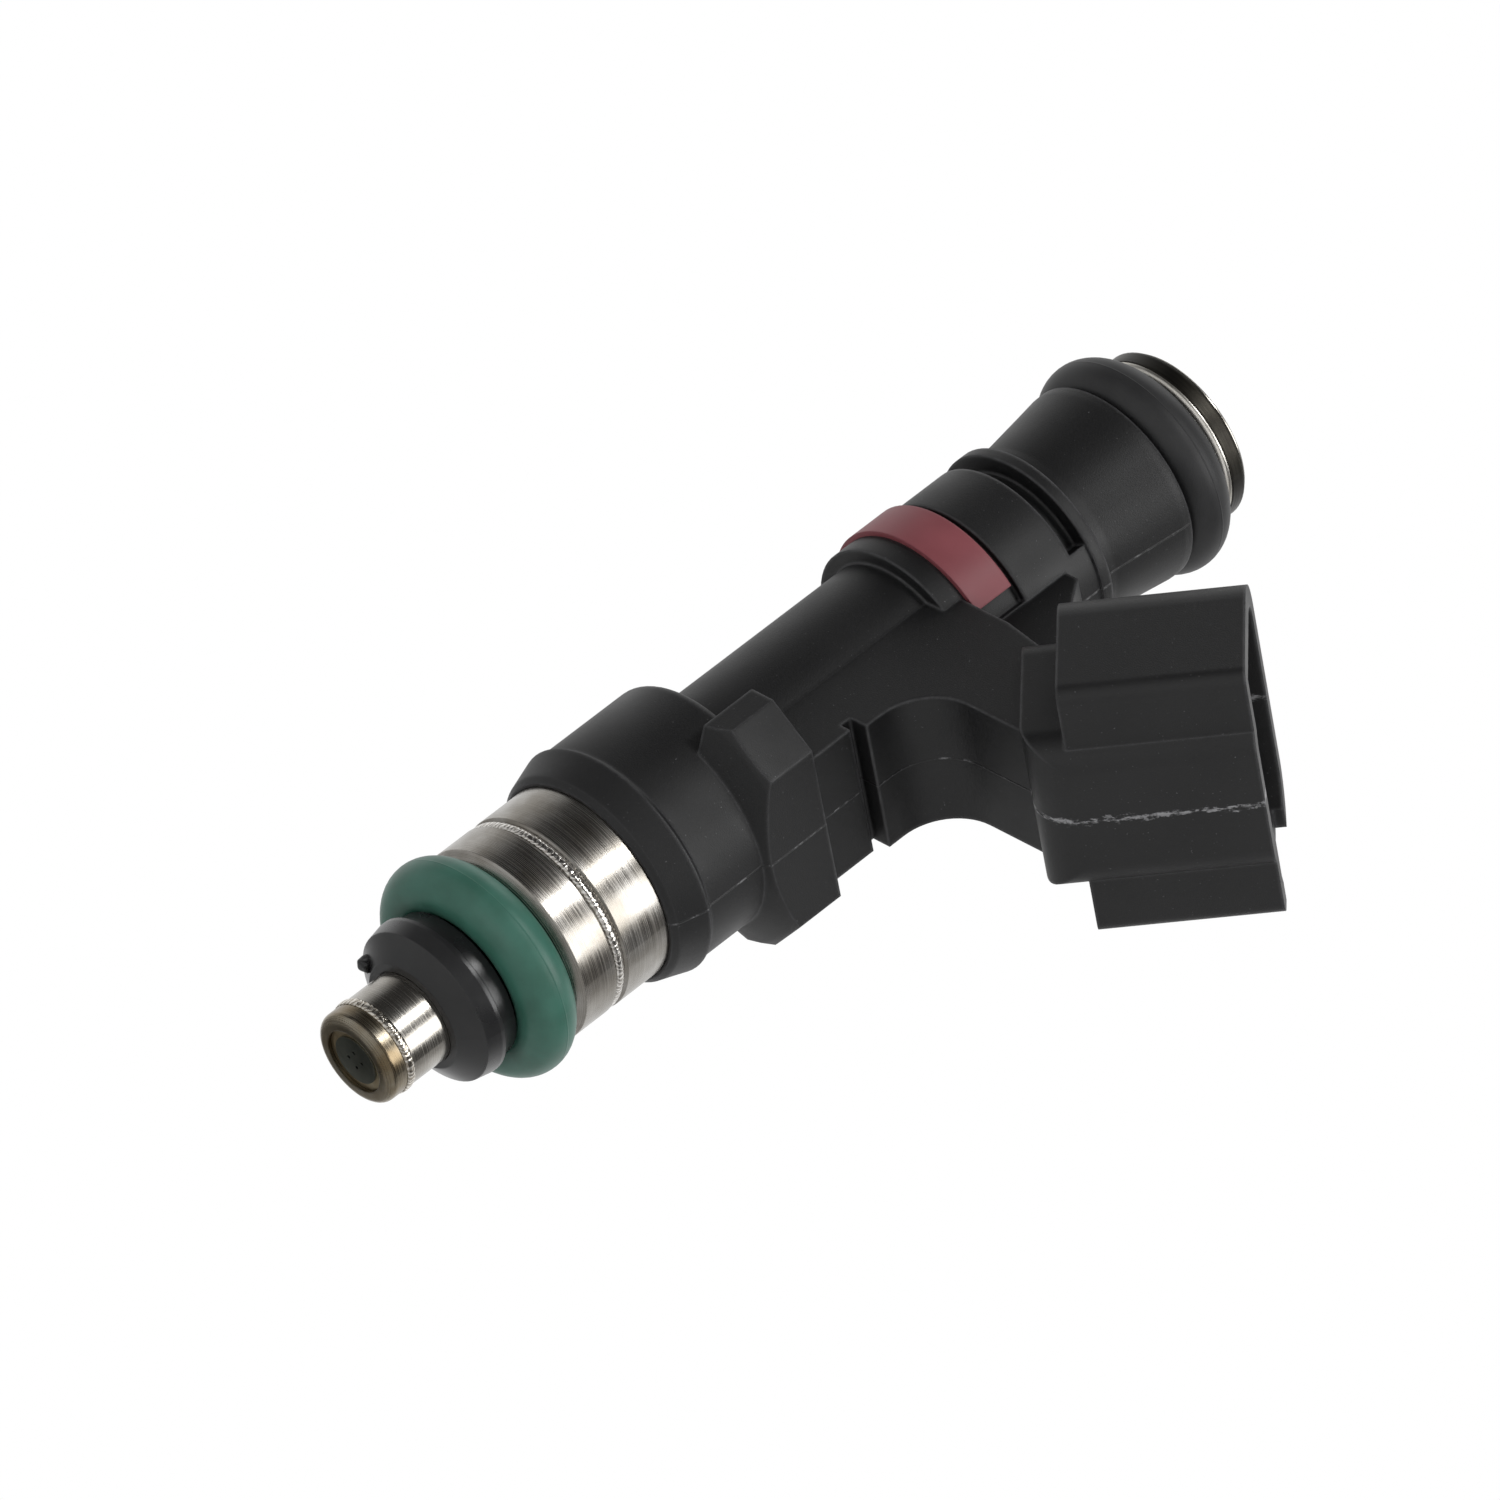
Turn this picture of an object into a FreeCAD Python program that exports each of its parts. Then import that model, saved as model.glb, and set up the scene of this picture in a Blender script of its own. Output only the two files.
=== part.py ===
import FreeCAD, Part
import math
import os
import re
import Sketcher

# Port fuel injector with an angled two-pin socket.
# Frame: +Z up the injector axis to the fuel inlet, +X to the socket, origin at the lower seal's centre.
Vec = FreeCAD.Vector
os.makedirs("parts", exist_ok=True)
doc = FreeCAD.newDocument("fuel_injector")

# ---------------------------------------------------------------- driving sizes (mm, degrees)
sizes = {
    # seals
    "seal_od": 14.6, "seal_section": 3.53, "seal_spacing": 55.2,
    # fits
    "press_gap": 0.02, "running_gap": 0.06, "seat_gap": 0.03,
    # nozzle end
    "tip_reach": 10.1, "tube_radius": 3.05, "tube_wall": 0.45, "cup_height": 1.35, "cup_rim": 0.55,
    "cup_opening": 2.1, "weld_gap": 0.15, "plate_radius": 1.6, "plate_thickness": 0.12,
    "plate_recess": 0.13, "spray_hole_radius": 0.12, "spray_circle": 0.55, "spray_holes": 4,
    "cone_bore": 0.7, "ball_radius": 1.6, "seat_height": 3.3,
    # support ring below the lower seal
    "ring_front": 4.3, "ring_hub_front": 5.3, "ring_rear_step": 3.0, "ring_front_radius": 5.1,
    "ring_rim_radius": 5.3, "ring_waist": 4.9,
    # sleeve and moving group
    "sleeve_bore": 3.0, "sleeve_step": 9.6, "sleeve_top": 16.0, "armature_foot": 10.8,
    "armature_height": 4.2, "needle_radius": 1.25, "needle_bore": 0.85, "needle_socket": 1.2,
    "spring_pocket": 2.8, "spring_bore": 1.45, "lift": 0.08, "air_gap": 0.02,
    # magnet housing and coil
    "housing_radius": 6.56, "housing_foot": 1.785, "housing_chamfer": 0.5, "housing_wall": 0.66,
    "weld_groove_low": 4.75, "weld_groove_high": 5.7, "weld_groove_depth": 0.22, "housing_floor": 6.9,
    "housing_top": 17.6, "washer_thickness": 1.0, "bobbin_flange": 0.8, "bobbin_hub": 0.45,
    "winding_margin": 0.25,
    # core, spring and adjuster
    "core_top": 23.0, "adjuster_foot": 19.5, "adjuster_top": 24.0, "adjuster_bore": 0.8,
    "spring_radius": 1.15, "spring_wire": 0.15, "spring_turns": 5,
    # inlet tube, retainer and filter
    "inlet_reach": 3.75, "flare_radius": 5.3, "flare_height": 0.5,
    "retainer_radius": 5.8, "retainer_height": 1.05, "retainer_bore": 4.1, "lip_radius": 5.6,
    "lip_height": 0.22, "mouth_radius": 3.5, "filter_recess": 2.35, "filter_height": 11.0,
    "filter_radius": 2.4, "filter_wall": 0.4, "mesh_wall": 0.15, "filter_cap": 0.9, "collar_height": 2.2,
    "filter_windows": 3, "window_width": 3.0, "window_margin": 1.3,
    # overmould barrel
    "edge_radius": 6.75, "edge_foot": 9.05, "edge_round": 0.35, "shoulder_radius": 7.72,
    "shoulder_top": 11.35, "shoulder_step": 0.3, "bulge_radius": 7.5, "bulge_top": 19.05,
    "bulge_round": 0.7, "neck_radius": 5.58, "collar_foot": 35.2, "collar_top": 36.8,
    "collar_radius": 6.5, "groove_top": 40.3, "groove_floor": 5.93, "bridge_angle": 46.0,
    "band_radius": 6.45, "band_top": 44.4, "slot_top": 45.7, "slot_floor": 5.4, "slot_bridge": 56.0,
    "thin_collar_top": 46.5, "thin_collar_radius": 6.6, "cone_foot_radius": 5.95, "cone_foot": 47.5,
    "cone_top_radius": 6.65, "cone_rim": 0.6, "seal_rest": 1.9,
    # colour ring
    "colour_ring_radius": 6.8, "colour_ring_height": 2.93, "colour_ring_opening": 70.0,
    # side block on the bulge
    "block_foot": 16.0, "block_top": 20.85, "block_reach": 8.0, "block_face": 5.5, "block_side": 8.15,
    "block_side_front": 5.35, "block_side_back": 3.6, "ramp_rise": 1.1, "ramp_reach": 9.3,
    # web to the socket
    "web_width": 9.2, "web_reach": 7.6, "web_foot": 18.0, "notch_foot": 24.2, "notch_top": 25.0,
    "notch_depth": 0.8, "pad_reach": 8.15, "arch_top": 29.8, "arch_radius": 3.6,
    "web_top": 36.6, "rib_width": 4.9, "rib_top": 43.6,
    # socket
    "socket_tilt": 47.0, "socket_reach": 28.3, "socket_height": 36.75, "socket_thickness": 11.15,
    "socket_width": 18.2, "core_width": 11.0, "core_rise": 0.6, "core_round": 2.0, "core_length": 13.6,
    "core_rear_round": 2.6, "wing_length": 11.0, "wing_round": 0.9, "back_round": 3.3, "socket_wall": 1.3,
    "socket_depth": 9.0, "rim_notch": 0.66, "rim_notch_foot": 8.7, "rim_notch_top": 6.1,
    "rim_notch_ramp": 2.2,
    # terminals
    "pin_pitch": 4.4, "pin_width": 1.5, "pin_thickness": 0.64, "pin_reach": 4.6, "pin_bend": 31.0,
    "pin_level": 5.5, "pin_run": 2.5, "pin_tip": 2.5,
}

sheet = doc.addObject("Spreadsheet::Sheet", "Sizes")
for row, (alias, number) in enumerate(sizes.items(), start=1):
    sheet.set("A%d" % row, alias)
    sheet.set("B%d" % row, str(number))
    sheet.setAlias("B%d" % row, alias)
doc.recompute()


def formula(text):
    # the sheet's name goes before each size that the text uses
    return re.sub(r"[a-z_]+", lambda word: "Sizes." + word.group(0) if word.group(0) in sizes
                  else word.group(0), str(text))


def originPlane(body, role):
    return next(item for item in body.Origin.OriginFeatures if item.Role == role)


def newBody(label):
    body = doc.addObject("PartDesign::Body", label)
    body.Label = label
    return body


def newSketch(body, name, role, shift=None, turn=None):
    # shift: formulas for x, y, z in the plane's frame; turn: formula for the angle about the plane's Y
    sketch = body.newObject("Sketcher::SketchObject", name)
    sketch.AttachmentSupport = [(originPlane(body, role), "")]
    sketch.MapMode = "FlatFace"
    if turn:
        sketch.AttachmentOffset = FreeCAD.Placement(Vec(), FreeCAD.Rotation(Vec(0, 1, 0), 10))
        sketch.setExpression(".AttachmentOffset.Rotation.Angle", formula(turn))
    for axis, text in zip("xyz", shift or []):
        sketch.setExpression(".AttachmentOffset.Base." + axis, formula(text))
    return sketch


def bind(sketch, constraint, text):
    sketch.setExpression("Constraints[%d]" % constraint, formula(text))


def value(text):
    return float(sheet.evalExpression(formula(text)))


def hold(sketch, kind, item, end, text):
    held = sketch.addConstraint(Sketcher.Constraint(kind, -1, 1, item, end, value(text)))
    bind(sketch, held, text)


def outline(sketch, points):
    # closed outline, each corner held by its two distances from the origin; a corner with a third
    # formula starts an arc, and the formula is how far across the arc's centre lies
    spots = [Vec(value(point[0]), value(point[1]), 0) for point in points]
    items, starts, stops = [], [], []
    for i, point in enumerate(points):
        here, there = spots[i], spots[(i + 1) % len(points)]
        if len(point) == 2:
            items.append(sketch.addGeometry(Part.LineSegment(here, there), False))
            starts.append(1)
            stops.append(2)
            continue
        across = value(point[2])
        gap = there - here
        along = (gap.dot(here + there) / 2 - gap.x * across) / gap.y
        centre = Vec(across, along, 0)
        forward = (here - centre).cross(there - centre).z > 0
        angles = [math.atan2(spot.y - along, spot.x - across) for spot in (here, there)]
        ring = Part.Circle(centre, Vec(0, 0, 1), (here - centre).Length)
        sweep = angles if forward else angles[::-1]
        items.append(sketch.addGeometry(Part.ArcOfCircle(ring, *sweep), False))
        starts.append(1 if forward else 2)
        stops.append(2 if forward else 1)
    for i, point in enumerate(points):
        after = (i + 1) % len(points)
        sketch.addConstraint(
            Sketcher.Constraint("Coincident", items[i], stops[i], items[after], starts[after]))
        hold(sketch, "DistanceX", items[i], starts[i], point[0])
        hold(sketch, "DistanceY", items[i], starts[i], point[1])
        if len(point) == 3:
            hold(sketch, "DistanceX", items[i], 3, point[2])


def circle(sketch, across, along, radius):
    spot = Vec(value(across), value(along), 0)
    ring = sketch.addGeometry(Part.Circle(spot, Vec(0, 0, 1), value(radius)), False)
    hold(sketch, "DistanceX", ring, 3, across)
    hold(sketch, "DistanceY", ring, 3, along)
    held = sketch.addConstraint(Sketcher.Constraint("Radius", ring, value(radius)))
    bind(sketch, held, radius)


def turned(body, sketch, cut=False, angle=None):
    # a full turn about Z, or a part turn that is even about the sketch's plane
    kind = "PartDesign::Groove" if cut else "PartDesign::Revolution"
    feature = body.newObject(kind, sketch.Name + ("_cut" if cut else "_turned"))
    feature.Profile = sketch
    feature.ReferenceAxis = (sketch, ["V_Axis"])
    feature.Angle = 360
    if angle:
        feature.Midplane = True
        feature.setExpression("Angle", formula(angle))
    sketch.Visibility = False
    return feature


def raised(body, sketch, length, cut=False, both=False, reverse=False):
    kind = "PartDesign::Pocket" if cut else "PartDesign::Pad"
    feature = body.newObject(kind, sketch.Name + ("_pocket" if cut else "_pad"))
    feature.Profile = sketch
    feature.setExpression("Length", formula(length))
    feature.Midplane = both
    feature.Reversed = reverse
    sketch.Visibility = False
    return feature


def turnedPiece(label, points):
    body = newBody(label)
    sketch = newSketch(body, label + "_section", "XZ_Plane")
    outline(sketch, points)
    turned(body, sketch)
    return body


def edgesWhere(shape, test):
    return ["Edge%d" % (i + 1) for i, edge in enumerate(shape.Edges) if test(edge)]


def softened(body, test, radius, kind="PartDesign::Fillet"):
    doc.recompute()
    base = body.Tip
    feature = body.newObject(kind, body.Label + "_" + kind[12:].lower())
    feature.Base = (base, edgesWhere(base.Shape, test))
    feature.setExpression("Size" if kind.endswith("Chamfer") else "Radius", formula(radius))
    return feature


def ringEdge(radius, height):
    # the round edge of one radius at one height
    return lambda edge: (isinstance(edge.Curve, Part.Circle) and abs(edge.Curve.Radius - radius) < 1e-3
                         and abs(edge.Curve.Center.z - height) < 1e-3 and abs(edge.Curve.Center.x) < 1e-3)


# ---------------------------------------------------------------- seals
def seal(label, height):
    body = newBody(label)
    sketch = newSketch(body, label + "_section", "XZ_Plane")
    circle(sketch, "(seal_od - seal_section) / 2", height, "seal_section / 2")
    turned(body, sketch)
    return body


seal("lower_o_ring", "0")
seal("upper_o_ring", "seal_spacing")

# ---------------------------------------------------------------- nozzle end
cupTop = "-tip_reach + cup_height"
seatFoot = "-tip_reach + 0.6"
nozzleCup = turnedPiece("nozzle_cup", [
    ("cup_opening", "-tip_reach"), ("tube_radius", "-tip_reach"), ("tube_radius", cupTop),
    ("tube_radius - tube_wall", cupTop), ("tube_radius - tube_wall", seatFoot), ("cup_opening", seatFoot)])
softened(nozzleCup, ringEdge(sizes["tube_radius"], -sizes["tip_reach"]), "cup_rim")

# seat with a 45 degree cone that the ball rests on
seatTop = seatFoot + " + seat_height"
guide = "ball_radius + running_gap"
coneTop = "-tip_reach + 2.5"
coneFoot = coneTop + " - (ball_radius + running_gap - cone_bore)"
seatRadius = "tube_radius - tube_wall - press_gap"
plateBack = "-tip_reach + plate_recess + plate_thickness"
turnedPiece("valve_seat", [
    ("cone_bore", plateBack), ("cup_opening - press_gap", plateBack), ("cup_opening - press_gap", seatFoot),
    (seatRadius, seatFoot), (seatRadius, seatTop), (guide, seatTop), (guide, coneTop),
    ("cone_bore", coneFoot)])

plate = newBody("orifice_plate")
plateFace = newSketch(plate, "plate_face", "XY_Plane", ("0", "0", "-tip_reach + plate_recess"))
circle(plateFace, "0", "0", "plate_radius")
raised(plate, plateFace, "plate_thickness")
sprayHole = newSketch(plate, "spray_hole", "XY_Plane", ("0", "0", "-tip_reach + plate_recess"))
circle(sprayHole, "spray_circle", "0", "spray_hole_radius")
sprayCut = raised(plate, sprayHole, "plate_thickness", cut=True, reverse=True)
sprayRing = plate.newObject("PartDesign::PolarPattern", "spray_holes_ring")
sprayRing.Originals = [sprayCut]
sprayRing.Axis = (sprayHole, ["N_Axis"])
sprayRing.setExpression("Occurrences", formula("spray_holes"))
plate.Tip = sprayRing

# ---------------------------------------------------------------- valve sleeve and support ring
sealFace = "seal_section / 2 + seat_gap"
sealFloor = "seal_od / 2 - seal_section - press_gap"
turnedPiece("valve_sleeve", [
    ("tube_radius - tube_wall", cupTop + " + weld_gap"), ("tube_radius", cupTop + " + weld_gap"),
    ("tube_radius", "-(" + sealFace + ")"), (sealFloor, "-(" + sealFace + ")"), (sealFloor, "sleeve_top"),
    ("sleeve_bore", "sleeve_top"), ("sleeve_bore", "sleeve_step"),
    ("tube_radius - tube_wall", "sleeve_step - 0.4")])

ringBore = "tube_radius + press_gap"
turnedPiece("support_ring", [
    (ringBore, "-ring_hub_front"), (ringBore + " + 0.5", "-ring_hub_front"),
    ("ring_front_radius", "-ring_front"), ("ring_rim_radius", "-ring_rear_step - 0.3"),
    ("ring_rim_radius", "-ring_rear_step"), ("ring_waist", "-ring_rear_step"),
    ("ring_waist", "-(" + sealFace + ")"), (ringBore, "-(" + sealFace + ")")])

# ---------------------------------------------------------------- moving group: ball, needle tube, armature
ballHeight = "-tip_reach + 2.5 - (ball_radius + running_gap) + ball_radius * sqrt(2) + seat_gap"
ball = doc.addObject("Part::Sphere", "valve_ball")
ball.Label = "valve_ball"
ball.setExpression("Radius", formula("ball_radius"))
ball.setExpression("Placement.Base.z", formula(ballHeight))

needleFoot = ballHeight + " + sqrt(ball_radius ^ 2 - needle_bore ^ 2) + 0.01"
needleTop = "armature_foot + needle_socket"
turnedPiece("needle_tube", [
    ("needle_bore", needleFoot), ("needle_radius", needleFoot), ("needle_radius", needleTop),
    ("needle_bore", needleTop)])

armatureTop = "armature_foot + armature_height"
pocketFloor = armatureTop + " - spring_pocket"
armatureRadius = "sleeve_bore - running_gap"
armature = turnedPiece("armature", [
    ("needle_radius + press_gap / 2", "armature_foot"), (armatureRadius, "armature_foot"),
    (armatureRadius, armatureTop), ("spring_bore", armatureTop), ("spring_bore", pocketFloor),
    ("needle_bore", pocketFloor), ("needle_bore", needleTop + " + 0.02"),
    ("needle_radius + press_gap / 2", needleTop + " + 0.02")])

# ---------------------------------------------------------------- magnet housing, coil and washer
housingBore = sealFloor + " + press_gap"
housing = turnedPiece("magnet_housing", [
    (housingBore, "housing_foot"), ("housing_radius - housing_chamfer", "housing_foot"),
    ("housing_radius", "housing_foot + housing_chamfer"), ("housing_radius", "weld_groove_low"),
    ("housing_radius - weld_groove_depth", "weld_groove_low + 0.15"),
    ("housing_radius - weld_groove_depth", "weld_groove_high - 0.15"),
    ("housing_radius", "weld_groove_high"), ("housing_radius", "housing_top"),
    ("housing_radius - housing_wall", "housing_top"), ("housing_radius - housing_wall", "housing_floor"),
    (housingBore, "housing_floor")])

canBore = "housing_radius - housing_wall - press_gap"
hubBore = sealFloor + " + 2 * press_gap"
hubFace = hubBore + " + bobbin_hub"
bobbinFoot = "housing_floor + press_gap"
bobbinTop = "housing_top - washer_thickness - press_gap"
turnedPiece("coil_bobbin", [
    (hubBore, bobbinFoot), (canBore, bobbinFoot), (canBore, bobbinFoot + " + bobbin_flange"),
    (hubFace, bobbinFoot + " + bobbin_flange"), (hubFace, bobbinTop + " - bobbin_flange"),
    (canBore, bobbinTop + " - bobbin_flange"), (canBore, bobbinTop), (hubBore, bobbinTop)])

coilFoot = bobbinFoot + " + bobbin_flange + press_gap"
coilTop = bobbinTop + " - bobbin_flange - press_gap"
turnedPiece("coil_winding", [
    (hubFace + " + press_gap", coilFoot), (canBore + " - winding_margin", coilFoot),
    (canBore + " - winding_margin", coilTop), (hubFace + " + press_gap", coilTop)])

washerFoot = "housing_top - washer_thickness"
washerGap = "pin_pitch / 2 + pin_width"
washer = turnedPiece("flux_washer", [
    (hubBore, washerFoot), (canBore, washerFoot), (canBore, "housing_top"), (hubBore, "housing_top")])
washerSlot = newSketch(washer, "washer_slot", "XY_Plane", ("0", "0", washerFoot))
outline(washerSlot, [
    ("pin_reach - pin_thickness", "-(" + washerGap + ")"), ("housing_radius", "-(" + washerGap + ")"),
    ("housing_radius", washerGap), ("pin_reach - pin_thickness", washerGap)])
raised(washer, washerSlot, "washer_thickness", cut=True, reverse=True)

# ---------------------------------------------------------------- pole core, adjuster and return spring
coreFoot = armatureTop + " + lift + air_gap"
coreRadius = "sleeve_bore - press_gap"
turnedPiece("pole_core", [
    ("spring_bore", coreFoot), (coreRadius, coreFoot), (coreRadius, "core_top"), ("spring_bore", "core_top")])

adjusterRadius = "spring_bore - press_gap"
adjuster = turnedPiece("adjusting_sleeve", [
    ("adjuster_bore", "adjuster_foot"), (adjusterRadius, "adjuster_foot"),
    (adjusterRadius, "adjuster_top"), ("adjuster_bore", "adjuster_top")])
adjusterSlot = newSketch(adjuster, "adjuster_slot", "XZ_Plane")
outline(adjusterSlot, [
    ("0", "adjuster_foot"), ("spring_bore", "adjuster_foot"), ("spring_bore", "adjuster_top"),
    ("0", "adjuster_top")])
raised(adjuster, adjusterSlot, "0.4", cut=True, both=True)

springFoot = sizes["armature_foot"] + sizes["armature_height"] - sizes["spring_pocket"]
springRise = sizes["adjuster_foot"] - springFoot - 2 * sizes["spring_wire"] - 0.04
pitch = springRise / sizes["spring_turns"]
coilLine = Part.makeHelix(pitch, springRise, sizes["spring_radius"])
wireStart = Part.Wire(Part.makeCircle(sizes["spring_wire"], Vec(sizes["spring_radius"], 0, 0), Vec(0, 1, 0)))
spring = doc.addObject("Part::Feature", "return_spring")
spring.Label = "return_spring"
spring.Shape = Part.Wire(coilLine).makePipeShell([wireStart], True, True)
spring.Placement = FreeCAD.Placement(Vec(0, 0, springFoot + sizes["spring_wire"] + 0.02), FreeCAD.Rotation())

# ---------------------------------------------------------------- inlet tube, retainer and filter
inletTop = "seal_spacing + inlet_reach"
lipFoot = inletTop + " - lip_height"
retainerFoot = lipFoot + " - press_gap - retainer_height"
flareTop = retainerFoot + " - press_gap"
turnedPiece("inlet_tube", [
    ("sleeve_bore", "sleeve_top"), (sealFloor, "sleeve_top"), (sealFloor, flareTop + " - flare_height"),
    ("flare_radius", flareTop + " - 0.12"), ("flare_radius", flareTop),
    ("retainer_bore - press_gap", flareTop), ("retainer_bore - press_gap", lipFoot),
    ("lip_radius", lipFoot), ("lip_radius", inletTop), ("mouth_radius", inletTop),
    ("sleeve_bore", inletTop + " - (mouth_radius - sleeve_bore)")])
retainer = turnedPiece("retainer_ring", [
    ("retainer_bore", retainerFoot), ("retainer_radius", retainerFoot),
    ("retainer_radius", retainerFoot + " + retainer_height"),
    ("retainer_bore", retainerFoot + " + retainer_height")])

filterTop = inletTop + " - filter_recess"
filterFoot = filterTop + " - filter_height"
frameTop = filterTop + " - collar_height"
windowFoot = filterFoot + " + window_margin"
windowTop = frameTop + " - window_margin"
frame = turnedPiece("filter_frame", [
    ("0", filterFoot), ("filter_radius", filterFoot), ("filter_radius", frameTop),
    ("filter_radius - filter_wall", frameTop), ("filter_radius - filter_wall", filterFoot + " + filter_cap"),
    ("0", filterFoot + " + filter_cap")])
windowSketch = newSketch(frame, "filter_window", "YZ_Plane")
outline(windowSketch, [
    ("-window_width / 2", windowFoot), ("window_width / 2", windowFoot),
    ("window_width / 2", windowTop), ("-window_width / 2", windowTop)])
windowCut = raised(frame, windowSketch, "filter_radius + 1", cut=True, reverse=True)
windowRing = frame.newObject("PartDesign::PolarPattern", "filter_windows_ring")
windowRing.Originals = [windowCut]
windowRing.Axis = (windowSketch, ["V_Axis"])
windowRing.setExpression("Occurrences", formula("filter_windows"))
frame.Tip = windowRing
meshRadius = "filter_radius - filter_wall - press_gap"
turnedPiece("filter_mesh", [
    (meshRadius + " - mesh_wall", filterFoot + " + filter_cap + press_gap"),
    (meshRadius, filterFoot + " + filter_cap + press_gap"), (meshRadius, frameTop),
    (meshRadius + " - mesh_wall", frameTop)])
turnedPiece("filter_collar", [
    (meshRadius + " - mesh_wall", frameTop + " + press_gap"),
    ("sleeve_bore - press_gap", frameTop + " + press_gap"),
    ("sleeve_bore - press_gap", filterTop), (meshRadius + " - mesh_wall", filterTop)])

# ---------------------------------------------------------------- terminals
socketShift = ("socket_reach", "0", "socket_height")
tiltSine, tiltCosine = "sin(socket_tilt * 1deg)", "cos(socket_tilt * 1deg)"


def socketPoint(along, across):
    # a point in the XZ plane: along the socket's axis from the mouth, across it from the outer face
    return ("socket_reach + (%s) * %s + (%s) * %s" % (along, tiltSine, across, tiltCosine),
            "socket_height + (%s) * %s - (%s) * %s" % (along, tiltCosine, across, tiltSine))


def pinPath(body, side, cut):
    # a flat strip: up from the bobbin, across the web, then along the socket's axis
    name = body.Label + "_" + side
    foot = newSketch(body, name + "_strip", "XY_Plane", ("0", "0", "housing_top - washer_thickness"))
    middle = ("-" if side == "left" else "") + "pin_pitch / 2"
    outline(foot, [
        ("pin_reach - pin_thickness / 2", middle + " - pin_width / 2"),
        ("pin_reach + pin_thickness / 2", middle + " - pin_width / 2"),
        ("pin_reach + pin_thickness / 2", middle + " + pin_width / 2"),
        ("pin_reach - pin_thickness / 2", middle + " + pin_width / 2")])
    path = newSketch(body, name + "_path", "XZ_Plane")
    corners = [("pin_reach", "housing_top - washer_thickness"), ("pin_reach", "pin_bend"),
               socketPoint("-socket_depth - pin_run", "-pin_level"), socketPoint("-pin_tip", "-pin_level")]
    spots = [Vec(value(across), value(along), 0) for across, along in corners]
    for i in range(3):
        path.addGeometry(Part.LineSegment(spots[i], spots[i + 1]), False)
    for i in range(2):
        path.addConstraint(Sketcher.Constraint("Coincident", i, 2, i + 1, 1))
    for i, (across, along) in enumerate(corners):
        line, end = (i, 1) if i < 3 else (2, 2)
        hold(path, "DistanceX", line, end, across)
        hold(path, "DistanceY", line, end, along)
    kind = "PartDesign::SubtractivePipe" if cut else "PartDesign::AdditivePipe"
    pipe = body.newObject(kind, name + "_pipe")
    pipe.Profile = foot
    pipe.Spine = (path, ["Edge1", "Edge2", "Edge3"])
    pipe.Transition = "Right corner"
    return pipe


for side in ("left", "right"):
    pinPath(newBody("terminal_pin_" + side), side, cut=False)

# ---------------------------------------------------------------- colour ring
ringBody = newBody("colour_ring")
ringSection = newSketch(ringBody, "colour_ring_section", "XZ_Plane")
outline(ringSection, [
    ("-groove_floor - press_gap", "collar_top + press_gap"),
    ("-colour_ring_radius", "collar_top + press_gap"),
    ("-colour_ring_radius", "collar_top + press_gap + colour_ring_height"),
    ("-groove_floor - press_gap", "collar_top + press_gap + colour_ring_height")])
turned(ringBody, ringSection, angle="360 - colour_ring_opening")

# ---------------------------------------------------------------- overmould
mould = newBody("overmould_body")
coneEnd = "seal_spacing - seal_rest"
barrel = newSketch(mould, "barrel", "XZ_Plane")
outline(barrel, [
    ("0", "edge_foot"), ("edge_radius", "edge_foot"), ("edge_radius + edge_round", "edge_foot + edge_round"),
    ("shoulder_radius", "shoulder_top"), ("bulge_radius", "shoulder_top + shoulder_step"),
    ("bulge_radius", "bulge_top"), ("neck_radius", "bulge_top"), ("neck_radius", "collar_foot"),
    ("collar_radius", "collar_foot"), ("collar_radius", "collar_top"), ("band_radius", "collar_top"),
    ("band_radius", "slot_top"), ("thin_collar_radius", "slot_top"),
    ("thin_collar_radius", "thin_collar_top"), ("cone_foot_radius", "thin_collar_top"),
    ("cone_foot_radius", "cone_foot"), ("cone_top_radius", coneEnd + " - cone_rim"),
    ("cone_top_radius", coneEnd), ("0", coneEnd)])
turned(mould, barrel)
softened(mould, ringEdge(sizes["bulge_radius"], sizes["bulge_top"]), "bulge_round")

blockFace = newSketch(mould, "side_block", "XY_Plane", ("0", "0", "block_foot"))
outline(blockFace, [
    ("block_side_back", "-block_side"), ("block_side_front", "-block_side"), ("block_reach", "-block_face"),
    ("block_reach", "block_face"), ("block_side_front", "block_side"), ("block_side_back", "block_side")])
raised(mould, blockFace, "block_top - block_foot")
ramp = newSketch(mould, "block_ramp", "XZ_Plane")
outline(ramp, [
    ("bulge_radius", "block_foot - 1"), ("ramp_reach + 2", "block_foot - 1"),
    ("ramp_reach + 2", "block_foot + 2.5 * ramp_rise"), ("ramp_reach", "block_foot + ramp_rise"),
    ("bulge_radius", "block_foot")])
turned(mould, ramp, cut=True)

webFace = newSketch(mould, "web", "XZ_Plane")
outline(webFace, [
    ("2", "web_foot"), ("web_reach", "web_foot"), ("web_reach", "notch_foot"),
    ("web_reach - notch_depth", "notch_foot"), ("web_reach - notch_depth", "notch_top"),
    ("pad_reach", "notch_top"), ("pad_reach", "arch_top - arch_radius", "pad_reach + arch_radius"),
    ("pad_reach + arch_radius", "arch_top"), ("socket_reach - core_length * " + tiltSine, "arch_top"),
    socketPoint("-core_length + 1.5", "-socket_thickness + 1"), ("collar_radius + 2", "web_top"),
    ("2", "web_top")])
raised(mould, webFace, "web_width", both=True)
ribFace = newSketch(mould, "rib", "XZ_Plane")
outline(ribFace, [
    ("2", "web_top - 1"), socketPoint("-core_length + 1.5", "-socket_thickness + 2"),
    socketPoint("-core_length + 1.5", "-socket_thickness + 0.5"), ("band_radius + 0.6", "rib_top"),
    ("2", "rib_top")])
raised(mould, ribFace, "rib_width", both=True)

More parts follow.
